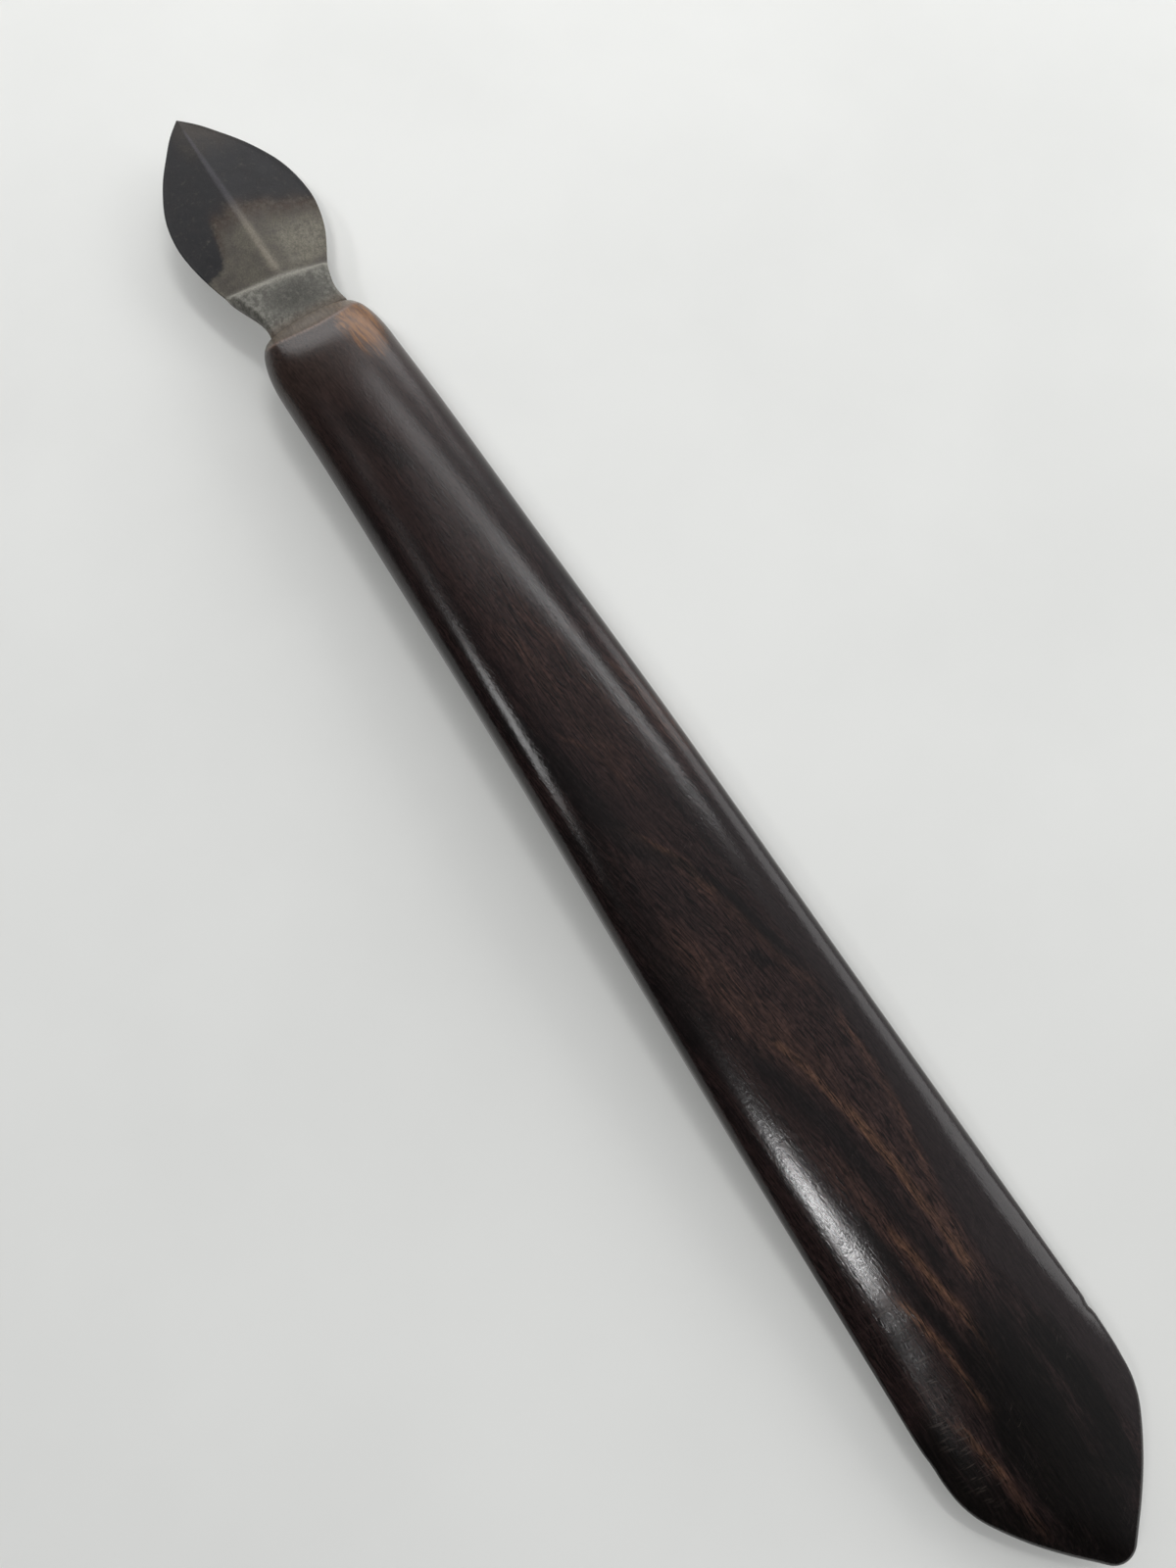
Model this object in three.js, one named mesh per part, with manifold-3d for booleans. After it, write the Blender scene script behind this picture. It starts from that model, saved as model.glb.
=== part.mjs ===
// A desk folder with an erasing blade: a flat hardwood handle whose wide end creases paper,
// and a leaf-shaped steel blade whose tang is bedded in resin in the narrow end.
// Millimetres, +Z up. The tool lies on its underside on z = 0, with the blade pointing to +X
// and the origin under the middle of its length.
// "Station" is the distance along the tool from the point of the blade.
import * as THREE from "three";
import { mergeVertices } from "three/addons/utils/BufferGeometryUtils.js";
import Module from "manifold-3d";

const wasm = await Module();
wasm.setup();

// ---- driving dimensions -------------------------------------------------------------------
const LENGTH = 178; // point of the blade to point of the folder
const MID_HEIGHT = 4.25; // height of the blade's middle plane above the table
const FIT_GAP = 0.1; // clearance left between bedded faces

const LEAF_HALF_WIDTH = 8.2; // widest half of the blade
const LEAF_WIDEST = 16.2; // station where the blade is widest
const NECK_HALF_WIDTH = 4.5; // narrowest half of the blade's neck
const NECK_NARROWEST = 29.4; // station where the neck is narrowest
const SHOULDER_START = 24.2; // the ground bevels end here ...
const SHOULDER_END = 25.6; // ... and the flat of the neck begins here
const POINT_HALF_WIDTH = 0.05; // the blade ends in a real point, not quite sharp
const POINT_HALF_THICKNESS = 0.3; // at the ridge, near the point
const BLADE_HALF_THICKNESS = 0.9; // at the neck, and at the ridge beside it

const FRONT_FACE = 31.5; // station of the wood's small front face, where the steel enters
const FRONT_HALF_WIDTH = 4.9;
const FRONT_HALF_HEIGHT = 1.6;
const SIDE_START = 38.5; // station where the rounded front runs into the side
const SIDE_HALF_WIDTH = 7.1; // half width there
const BELLY = 160; // station of the widest part of the folder end
const BELLY_HALF_WIDTH = 10.3;
const CORNER = 168.6; // station of the folder end's rounded corner, where its point begins
const CORNER_HALF_WIDTH = 9;
const TIP_HALF_WIDTH = 0.25; // the folder's point is blunt ...
const TIP_HALF_HEIGHT = 0.45; // ... and thin
const HANDLE_HEIGHT = 8.5; // thickest part of the handle
const FLAT_DEPTH = 0.12; // how deep the rest flat is planed into the underside

const TANG_START_HALF_WIDTH = 3.5;
const TANG_END_HALF_WIDTH = 1.7;
const TANG_HALF_THICKNESS = 0.8;
const TANG_LENGTH = 37;
const MORTISE_LENGTH = 39;
const RESIN_THICKNESS = 0.35; // around the tang

const HANDLE_CORNERS = 36; // points round one section of the handle
const HANDLE_STEPS = 14; // steps along each stretch of its outline
const BLADE_STEPS = 18;

// ---- helpers ------------------------------------------------------------------------------
const toX = (station) => LENGTH / 2 - station;

// A smooth height read along the tool from a few [station, value] knots.
function profile(knots) {
  const stepsPerKnot = 40;
  const curve = new THREE.SplineCurve(knots.map((knot) => new THREE.Vector2(...knot)));
  const points = curve.getPoints(stepsPerKnot * knots.length);
  return (station) => {
    const after = points.findIndex((point) => point.x >= station);
    if (after === 0) return points[0].y;
    if (after < 0) return points.at(-1).y;
    const [low, high] = [points[after - 1], points[after]];
    return THREE.MathUtils.mapLinear(station, low.x, high.x, low.y, high.y);
  };
}

// A closed loft: a capped cylinder whose rings are moved onto the sections of the piece.
// Each row is a point of the half outline: x is its station and y its half width.
// section(row, corner) gives [y, z] for one corner of the ring, and for its centre if corner is null.
function loft(rows, corners, section) {
  const last = rows.length - 1;
  const shape = new THREE.CylinderGeometry(1, 1, 1, corners, last);
  const position = shape.attributes.position;
  for (let i = 0; i < position.count; i++) {
    const [side, along, front] = [position.getX(i), position.getY(i), position.getZ(i)];
    const row = rows[Math.round((0.5 - along) * last)];
    const onAxis = Math.hypot(side, front) < 0.5;
    const turn = Math.atan2(side, front) / (2 * Math.PI);
    const [y, z] = section(row, onAxis ? null : Math.round(turn * corners));
    position.setXYZ(i, toX(row.x), y, z);
  }
  return shape;
}

// A board that tapers in plan, lying along the tool with its middle plane on z = 0.
function taperedBoard(start, length, startHalfWidth, endHalfWidth, halfThickness) {
  const end = start + length;
  const plan = new THREE.Shape([
    new THREE.Vector2(toX(start), -startHalfWidth),
    new THREE.Vector2(toX(start), startHalfWidth),
    new THREE.Vector2(toX(end), endHalfWidth),
    new THREE.Vector2(toX(end), -endHalfWidth),
  ]);
  const board = new THREE.ExtrudeGeometry(plan, { depth: 2 * halfThickness, bevelEnabled: false });
  return board.translate(0, 0, -halfThickness);
}

// A board like the tang, larger all round by a margin.
const tangBoard = (start, length, margin) =>
  taperedBoard(
    start,
    length,
    TANG_START_HALF_WIDTH + margin,
    TANG_END_HALF_WIDTH + margin,
    TANG_HALF_THICKNESS + margin,
  );

// A geometry as a manifold solid, and back.
function solid(geometry) {
  const bare = geometry.clone();
  bare.deleteAttribute("normal");
  bare.deleteAttribute("uv");
  const merged = mergeVertices(bare, 1e-4);
  return new wasm.Manifold(
    new wasm.Mesh({
      numProp: 3,
      vertProperties: Float32Array.from(merged.attributes.position.array),
      triVerts: Uint32Array.from(merged.index.array),
    }),
  );
}

function geometryOf(manifold) {
  const mesh = manifold.getMesh();
  const geometry = new THREE.BufferGeometry();
  geometry.setAttribute("position", new THREE.BufferAttribute(Float32Array.from(mesh.vertProperties), 3));
  geometry.setIndex(new THREE.BufferAttribute(Uint32Array.from(mesh.triVerts), 1));
  geometry.computeVertexNormals();
  return geometry;
}

// A named piece, with its own middle plane lifted to a height.
function piece(name, geometry, material, height) {
  const mesh = new THREE.Mesh(geometry, material);
  mesh.name = name;
  mesh.position.z = height;
  return mesh;
}

// ---- the handle ---------------------------------------------------------------------------
// Half of its plan outline, from the front face to the point of the folder.
function handleOutline() {
  const frontLength = SIDE_START - FRONT_FACE;
  const frontRise = SIDE_HALF_WIDTH - FRONT_HALF_WIDTH;
  const half = new THREE.Path();
  half.absellipse(SIDE_START, FRONT_HALF_WIDTH, frontLength, frontRise, Math.PI, Math.PI / 2, true);
  half.bezierCurveTo(80, 7.6, 120, 9.3, BELLY, BELLY_HALF_WIDTH);
  half.quadraticCurveTo(BELLY + 6, BELLY_HALF_WIDTH, CORNER, CORNER_HALF_WIDTH);
  half.bezierCurveTo(CORNER + 3.2, 6.9, LENGTH - 2.8, 3.9, LENGTH - 1, 1.75);
  half.quadraticCurveTo(LENGTH - 0.1, 0.75, LENGTH, TIP_HALF_WIDTH);
  return half.getPoints(HANDLE_STEPS);
}

// Half of its thickness along the middle, rounded over at both ends.
const handleHalfHeight = profile([
  [FRONT_FACE, FRONT_HALF_HEIGHT],
  [33, 2.7],
  [35.5, 3.5],
  [40, 4.05],
  [50, HANDLE_HEIGHT / 2],
  [90, HANDLE_HEIGHT / 2 - 0.05],
  [120, 3.6],
  [145, 2.75],
  [165, 1.9],
  [174, 1.35],
  [177, 0.9],
  [LENGTH, TIP_HALF_HEIGHT],
]);

// Height of its underside along the middle: straight under the grip, lifting towards the thin end.
const TIP_START = 174; // past here the middle plane runs level to the point
const handleUnderside = profile([
  [SIDE_START, 0.15],
  [48, -FLAT_DEPTH],
  [75, -FLAT_DEPTH],
  [105, -FLAT_DEPTH],
  [125, -0.02],
  [145, 0.25],
  [165, 0.7],
  [TIP_START, 1.1],
]);

// Height of its middle plane: level with the blade at the front, then halfway up the section.
function handleMiddle(station) {
  const level = Math.min(station, TIP_START);
  const halfway = handleUnderside(level) + handleHalfHeight(level);
  return THREE.MathUtils.lerp(MID_HEIGHT, halfway, THREE.MathUtils.smoothstep(station, SIDE_START, 55));
}

// Squareness of its section: an ellipse is 2. Oval at the blade, flatter in the grip, a lens at the end.
const handleSquareness = profile([
  [FRONT_FACE, 2.2],
  [45, 2.2],
  [60, 2.6],
  [85, 3.4],
  [110, 3.2],
  [140, 2.6],
  [165, 2.2],
  [LENGTH, 2],
]);

function handleSection(row, corner) {
  const middle = handleMiddle(row.x);
  if (corner === null) return [0, middle];
  const turn = (corner / HANDLE_CORNERS) * 2 * Math.PI;
  const power = 2 / handleSquareness(row.x);
  const [across, up] = [Math.cos(turn), Math.sin(turn)];
  return [
    row.y * Math.sign(across) * Math.abs(across) ** power,
    middle + handleHalfHeight(row.x) * Math.sign(up) * Math.abs(up) ** power,
  ];
}

function makeHandle() {
  const blank = solid(loft(handleOutline(), HANDLE_CORNERS, handleSection));
  const belowTable = new THREE.BoxGeometry(2 * LENGTH, LENGTH, 10).translate(0, 0, -5);
  const mortise = tangBoard(FRONT_FACE - 1, MORTISE_LENGTH + 1, RESIN_THICKNESS);
  mortise.translate(0, 0, MID_HEIGHT);
  return geometryOf(blank.subtract(solid(belowTable)).subtract(solid(mortise)));
}

// ---- the blade ----------------------------------------------------------------------------
const NECK_END = FRONT_FACE - FIT_GAP;

// Half of its plan outline: the leaf, the neck and the tang inside the wood.
function bladeOutline() {
  const half = new THREE.Path();
  half.moveTo(0, POINT_HALF_WIDTH);
  half.bezierCurveTo(5.5, 5.5, 10.5, LEAF_HALF_WIDTH, LEAF_WIDEST, LEAF_HALF_WIDTH);
  half.bezierCurveTo(21.6, LEAF_HALF_WIDTH, 25.4, 5.4, NECK_NARROWEST, NECK_HALF_WIDTH);
  half.quadraticCurveTo(30.6, NECK_HALF_WIDTH, NECK_END, FRONT_HALF_WIDTH - 0.15);
  const tangStart = new THREE.Vector2(NECK_END + 0.02, TANG_START_HALF_WIDTH);
  const tangEnd = new THREE.Vector2(FRONT_FACE + TANG_LENGTH, TANG_END_HALF_WIDTH);
  return [...half.getPoints(BLADE_STEPS), tangStart, tangEnd];
}

// The corners of a section lie at these shares of its half width, from the edge to the middle.
const BLADE_SHARES = [1, 0.9, 0.5, 0];
const BLADE_CORNERS = 4 * (BLADE_SHARES.length - 1);

// Half thickness at a share of the half width: a roof with its ridge on the middle line in the leaf,
// and a slab with bevelled edges in the neck and the tang.
function bladeHalfThickness(station, share) {
  const towardsNeck = THREE.MathUtils.smoothstep(station, 0, SHOULDER_START);
  const ridge = THREE.MathUtils.lerp(POINT_HALF_THICKNESS, BLADE_HALF_THICKNESS, towardsNeck);
  const middle = station > NECK_END ? TANG_HALF_THICKNESS : ridge;
  const roof = middle * (1 - share);
  const slab = share < 1 ? middle : 0;
  return THREE.MathUtils.lerp(roof, slab, THREE.MathUtils.smoothstep(station, SHOULDER_START, SHOULDER_END));
}

function bladeSection(row, corner) {
  if (corner === null) return [0, 0];
  const quarter = BLADE_CORNERS / 4;
  const fromEdge = quarter - Math.abs(quarter - (Math.abs(corner) % (2 * quarter)));
  const share = BLADE_SHARES[fromEdge];
  const turn = (corner / BLADE_CORNERS) * 2 * Math.PI;
  return [
    Math.sign(Math.cos(turn)) * row.y * share,
    Math.sign(Math.sin(turn)) * bladeHalfThickness(row.x, share),
  ];
}

const makeBlade = () => geometryOf(solid(loft(bladeOutline(), BLADE_CORNERS, bladeSection)));

// ---- the resin that beds the tang ---------------------------------------------------------
function makeBedding() {
  const outside = tangBoard(FRONT_FACE, MORTISE_LENGTH - FIT_GAP, RESIN_THICKNESS - FIT_GAP);
  const aroundTang = tangBoard(FRONT_FACE - 1, TANG_LENGTH + 1 + FIT_GAP, FIT_GAP);
  return geometryOf(solid(outside).subtract(solid(aroundTang)));
}

// ---- the tool -----------------------------------------------------------------------------
const darkWood = new THREE.MeshStandardMaterial({ color: 0x33241f, roughness: 0.35, metalness: 0 });
const tarnishedSteel = new THREE.MeshStandardMaterial({ color: 0x5c5a56, roughness: 0.45, metalness: 0.9 });
const resin = new THREE.MeshStandardMaterial({ color: 0x2a1a12, roughness: 0.5, metalness: 0 });

const tool = new THREE.Group();
tool.add(piece("handle", makeHandle(), darkWood, 0));
tool.add(piece("blade", makeBlade(), tarnishedSteel, MID_HEIGHT));
tool.add(piece("tang_bedding", makeBedding(), resin, MID_HEIGHT));

export default tool;
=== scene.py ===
# Looks for a wooden paper folder with an erasing blade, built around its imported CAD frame.
# Lengths are millimetres until a mesh is made. "Station" is the distance along the tool from the point
# of the blade, and "side" is the distance across it, positive towards -Y.
from math import cos, radians, sin

import bpy
import numpy as np
from mathutils import Matrix, Vector, noise


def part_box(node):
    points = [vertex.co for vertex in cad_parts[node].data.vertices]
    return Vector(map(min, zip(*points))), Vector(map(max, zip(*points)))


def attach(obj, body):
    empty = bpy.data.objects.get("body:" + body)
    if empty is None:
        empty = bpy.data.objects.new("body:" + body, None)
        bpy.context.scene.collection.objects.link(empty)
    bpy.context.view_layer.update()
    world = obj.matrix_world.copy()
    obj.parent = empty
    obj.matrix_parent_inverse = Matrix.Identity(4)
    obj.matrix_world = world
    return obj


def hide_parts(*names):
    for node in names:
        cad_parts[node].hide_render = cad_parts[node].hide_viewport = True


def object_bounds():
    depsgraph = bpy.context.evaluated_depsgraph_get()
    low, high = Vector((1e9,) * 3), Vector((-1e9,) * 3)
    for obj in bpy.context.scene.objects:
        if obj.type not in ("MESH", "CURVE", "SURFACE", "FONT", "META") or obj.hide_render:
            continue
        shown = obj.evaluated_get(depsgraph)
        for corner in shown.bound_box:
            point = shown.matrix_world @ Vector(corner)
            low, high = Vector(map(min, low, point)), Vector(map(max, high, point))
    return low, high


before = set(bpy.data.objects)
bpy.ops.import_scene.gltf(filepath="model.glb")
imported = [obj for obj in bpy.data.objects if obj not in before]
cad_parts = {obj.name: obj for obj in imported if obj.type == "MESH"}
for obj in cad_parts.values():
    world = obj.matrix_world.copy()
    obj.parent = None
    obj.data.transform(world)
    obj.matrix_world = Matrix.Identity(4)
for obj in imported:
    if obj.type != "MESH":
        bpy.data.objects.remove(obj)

MM = 0.001
cad_low, cad_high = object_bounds()
_, handle_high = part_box("handle")
blade_low, blade_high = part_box("blade")
bedding_low, bedding_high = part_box("tang_bedding")

# ---- sizes that the frame gives -------------------------------------------------------------
LENGTH = (cad_high.x - cad_low.x) / MM
FRONT = (cad_high.x - handle_high.x) / MM  # station of the wood's small front face
TANG_END = (cad_high.x - blade_low.x) / MM
BEDDING_END = (cad_high.x - bedding_low.x) / MM
MID_HEIGHT = (blade_low.z + blade_high.z) / 2 / MM
BLADE_HALF_THICKNESS = (blade_high.z - blade_low.z) / 2 / MM
BEDDING_HALF_HEIGHT = (bedding_high.z - bedding_low.z) / 2 / MM
BELLY_HALF_WIDTH = handle_high.y / MM

# ---- sizes of the finer shape ---------------------------------------------------------------
FIT_GAP = 0.1  # between any two pieces
FRONT_HALF_WIDTH = 4.9
FRONT_HALF_HEIGHT = 1.6
RIM = 33.2  # station of the worn rim round the front bevel, at its sides
RIM_BOW = 0.9  # how much further back the rim lies in the middle
RIM_END = 40  # station where the bow has died away
RIM_HALF_HEIGHT = 2.9
SIDE_START = 38.5  # station where the rounded front runs into the side
SIDE_HALF_WIDTH = 7.22
THIN_END = 169.0  # from here the folder's thickness rounds over to the point
THIN_END_FULLNESS = 2.6  # the power of that curve: 2 is an ellipse, and a higher one stays full for longer
NOSE_RADIUS = 2.3  # of the folder's point, in plan
NOSE_START = LENGTH - 0.8  # from here the nose is inside the sides' outline
TANG_START_HALF_WIDTH = 3.5
TANG_END_HALF_WIDTH = 1.7
TANG_HALF_THICKNESS = 0.8
RESIN_THICKNESS = 0.35
SLOT_SQUARENESS = 9.0  # of the mortise and the outside of the bedding, as superellipses
BORE_SQUARENESS = 12.0  # of the inside of the bedding
EDGE_HALF_THICKNESS = 0.07  # of the blade's worn cutting edge
RIDGE_ROUNDING = 0.035  # of the blade's worn ridge, as a share of the half width
SHOULDER = 25.2  # station where the ground bevels end, on the middle line
SHOULDER_SKEW = 0.17  # how much further back the shoulder lies per millimetre to the side


# ---- curves ---------------------------------------------------------------------------------
def ease(value, low, high):
    """0 up to low, 1 from high on, and a smooth rise between."""
    t = np.clip((np.asarray(value, float) - low) / (high - low), 0, 1)
    return t * t * (3 - 2 * t)


def profile(*knots):
    """A smooth curve through (station, value) knots, level past its ends."""
    at, height = np.array(knots, float).T
    slope = np.gradient(height, at)

    def read(station):
        station = np.clip(station, at[0], at[-1])
        i = np.clip(np.searchsorted(at, station, side="right") - 1, 0, len(at) - 2)
        gap = at[i + 1] - at[i]
        t = (station - at[i]) / gap
        rise = ease(t, 0, 1)
        return (
            height[i] * (1 - rise)
            + height[i + 1] * rise
            + gap * t * (1 - t) * (slope[i] * (1 - t) - slope[i + 1] * t)
        )

    return read


def stations(start, end, step, fine_start=0.0, fine_end=0.0):
    """Stations from start to end about a step apart, crowding together at an end that is fine."""
    t = np.linspace(0, 1, max(2, int(round((end - start) / step))))
    t = t + fine_start * (t * t - t) * (1 - t) - fine_end * (t * t - t) * t
    return start + (end - start) * t


def ripple(points, scale, seed):
    """Smooth noise, about -1 to 1, at an array of points given in millimetres."""
    flat = points.reshape(-1, 3) * scale + seed
    return np.array([noise.noise(Vector(p)) for p in flat]).reshape(points.shape[:-1])


# ---- meshes ---------------------------------------------------------------------------------
def to_frame(points):
    """Points as (station, side, height) in millimetres, moved into the shared frame in metres."""
    placed = points.astype(float) * MM
    placed[..., 0] = cad_high.x - placed[..., 0]
    placed[..., 1] = -placed[..., 1]
    return placed


def put_in_scene(name, data, axes=None, place=(0, 0, 0)):
    """An object that holds the data, turned to three axes and moved to a place in metres."""
    thing = bpy.data.objects.new(name, data)
    if axes:
        thing.matrix_world = Matrix.Translation(place) @ Matrix(axes).transposed().to_4x4()
    bpy.context.scene.collection.objects.link(thing)
    return thing


def tube(name, rings, marks=None):
    """A closed mesh through rings of (station, side, height) points, filled at both ends.

    marks are named values per point, which the materials read as attributes.
    """
    rows, columns = rings.shape[:2]
    point = np.arange(rows * columns).reshape(rows, columns)
    beside = np.roll(point, -1, axis=1)
    quads = np.stack([point[:-1], beside[:-1], beside[1:], point[1:]], axis=-1).reshape(-1, 4)
    ends = [point[0, ::-1].tolist(), point[-1].tolist()]
    mesh = bpy.data.meshes.new(name)
    mesh.from_pydata(to_frame(rings).reshape(-1, 3).tolist(), [], quads.tolist() + ends)
    for key, values in (marks or {}).items():
        attribute = mesh.attributes.new(key, "FLOAT", "POINT")
        attribute.data.foreach_set("value", values.astype(np.float32).ravel())
    mesh.shade_smooth()
    mesh.update()
    return put_in_scene(name, mesh)


def oval_rings(station, half_width, half_height, middle, centre, squareness, columns):
    """Superellipse sections: squareness 2 is an ellipse, and a high one is nearly a rectangle."""
    turn = np.linspace(0, 2 * np.pi, columns, endpoint=False)
    across, up = np.cos(turn), np.sin(turn)
    power = np.broadcast_to(squareness, station.shape)[:, None]
    reach = (np.abs(across) ** power + np.abs(up) ** power) ** (-1 / power)
    sizes = (half_width, half_height, middle, centre)
    half_width, half_height, middle, centre = (
        np.broadcast_to(size, station.shape)[:, None] for size in sizes
    )
    return np.stack(
        [
            np.broadcast_to(station[:, None], reach.shape),
            centre + half_width * reach * across,
            middle + half_height * reach * up,
        ],
        axis=-1,
    )


def tang_sides(station, margin):
    """Half width of the tang, or of a space round it that is larger by a margin."""
    share = (station - FRONT) / (TANG_END - FRONT)
    return TANG_START_HALF_WIDTH + (TANG_END_HALF_WIDTH - TANG_START_HALF_WIDTH) * share + margin


# ---- the handle -----------------------------------------------------------------------------
side_half_width = profile(
    (SIDE_START, SIDE_HALF_WIDTH),
    (50, 7.49),
    (72, 7.92),
    (97, 8.59),
    (121, 9.28),
    (144, 9.92),
    (156, BELLY_HALF_WIDTH - 0.1),
    (160.5, BELLY_HALF_WIDTH),
    (164, 10.18),
    (166.4, 9.83),
    (168.2, 9.15),
    (170, 8.05),
    (172.3, 6.36),
    (174.6, 4.33),
    (177, 1.95),
    (LENGTH, 1.0),
)
side_half_height = profile(
    (FRONT, 2.35),
    (RIM, 2.85),
    (35.5, 3.5),
    (40, 4.0),
    (46, 4.17),
    (54, 4.2),
    (75, 4.2),
    (92, 4.16),
    (120, 3.6),
    (145, 2.75),
    (165, 1.85),
    (THIN_END, 1.65),
    (LENGTH, 1.3),
)
# A little below 0 in the grip, where it is cut off flat at 0: that is the face the tool rests on.
underside = profile(
    (SIDE_START, 0.2),
    (48, -0.12),
    (75, -0.12),
    (105, -0.12),
    (125, 0.0),
    (145, 0.25),
    (165, 0.7),
    (LENGTH, 1.0),
)
# An ellipse is 2: oval at the blade, flatter in the grip, a lens at the folder end.
squareness = profile(
    (FRONT, 2.2),
    (46, 2.2),
    (60, 2.6),
    (85, 3.4),
    (110, 3.5),
    (128, 3.3),
    (136, 2.85),
    (143, 2.3),
    (149, 2.02),
    (LENGTH, 2.0),
)
# The handle isn't quite straight: its middle line wanders to the side.
wander = profile(
    (FRONT, -0.25),
    (37, -0.25),
    (48, 0),
    (62, 0.06),
    (92, 0.15),
    (110, 0),
    (126, -0.08),
    (150, 0),
    (LENGTH, 0),
)


def handle_half_width(station):
    """Quarter ellipse at the front, then the side, then the round nose."""
    back = np.clip((SIDE_START - station) / (SIDE_START - FRONT), 0, 1)
    rounded = FRONT_HALF_WIDTH + (SIDE_HALF_WIDTH - FRONT_HALF_WIDTH) * np.sqrt(1 - back**2)
    body = np.where(station < SIDE_START, rounded, side_half_width(station))
    from_nose = np.clip(station - (LENGTH - NOSE_RADIUS), 0, NOSE_RADIUS)
    nose = np.sqrt(NOSE_RADIUS**2 - from_nose**2)
    return np.where(station > NOSE_START, np.minimum(body, nose), body)


def handle_half_height(station):
    """The front bevel rises to the rim, and the thickness rounds over at the point."""
    bevel = FRONT_HALF_HEIGHT + (RIM_HALF_HEIGHT - FRONT_HALF_HEIGHT) * (station - FRONT) / (RIM - FRONT)
    body = side_half_height(station)
    past = np.clip((station - THIN_END) / (LENGTH - THIN_END), 0, 1)
    return np.minimum(bevel, body) * np.sqrt(1 - past**THIN_END_FULLNESS)


def handle_middle(station):
    """The height of the section's middle: level with the blade in front, and on the table behind."""
    halfway = underside(station) + side_half_height(station)
    share = ease(station, SIDE_START, 55)
    return MID_HEIGHT * (1 - share) + halfway * share


def dent(rings, station, side, radius, depth):
    """How far one knock on the outline pushes each point in towards the middle line."""
    from_dent = np.hypot((rings[..., 0] - station) / radius, (rings[..., 1] - side) / radius)
    return depth * np.exp(-(from_dent**2)) * np.sign(side)


def shape_by_hand(skin, middle):
    """Makes the surface very slightly uneven, and knocks the folder end's edges in twice."""
    broad = 0.02 * ripple(skin, np.array([0.05, 0.12, 0.12]), seed=3.0)
    uneven = (broad + 0.005 * ripple(skin, 0.4, seed=11.0)) * ease(skin[..., 0], FRONT, 36)
    skin[..., 1] += uneven * np.sign(skin[..., 1]) * ease(np.abs(skin[..., 1]), 0, 6)
    skin[..., 2] += uneven * np.sign(skin[..., 2] - middle) * ease(np.abs(skin[..., 2] - middle), 0, 1.5)
    skin[..., 1] -= dent(skin, 159.1, 10.2, 0.5, 0.16) + dent(skin, 162.4, -10.3, 1.2, 0.1)


def handle_skin(columns):
    """Rings from the point of the folder to the front face, closest together at both ends."""
    parts = [
        stations(FRONT, 44, 0.16, fine_start=0.6)[:-1],
        stations(44, 160, 0.42)[:-1],
        stations(160, LENGTH - 0.01, 0.2, fine_end=0.9),
    ]
    outside = np.concatenate(parts)[::-1]
    middle = handle_middle(outside)
    skin = oval_rings(
        outside,
        handle_half_width(outside),
        handle_half_height(outside),
        middle,
        wander(outside),
        squareness(outside),
        columns,
    )
    # The rim of the front bevel bows back in the middle.
    bow = ease(outside, FRONT, RIM) * (1 - ease(outside, RIM, RIM_END))
    skin[..., 0] += RIM_BOW * bow[:, None] * np.clip(1 - (skin[..., 1] / FRONT_HALF_WIDTH) ** 2, 0, 1)
    shape_by_hand(skin, middle[:, None])
    skin[..., 1] = np.clip(skin[..., 1], -BELLY_HALF_WIDTH, BELLY_HALF_WIDTH)
    skin[..., 2] = np.maximum(skin[..., 2], 0)
    return skin


def mortise(columns):
    """Rings from the front face into the slot for the tang, to its end."""
    inside = np.array([FRONT, FRONT + 0.3, TANG_END, BEDDING_END + FIT_GAP])
    half_width = tang_sides(inside, RESIN_THICKNESS)
    half_height = TANG_HALF_THICKNESS + RESIN_THICKNESS
    return oval_rings(inside, half_width, half_height, MID_HEIGHT, 0.0, SLOT_SQUARENESS, columns)


def make_handle(columns=184):
    rings = np.concatenate([handle_skin(columns), mortise(columns)])
    return tube("wooden_handle", rings, figure_marks(rings))


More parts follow.
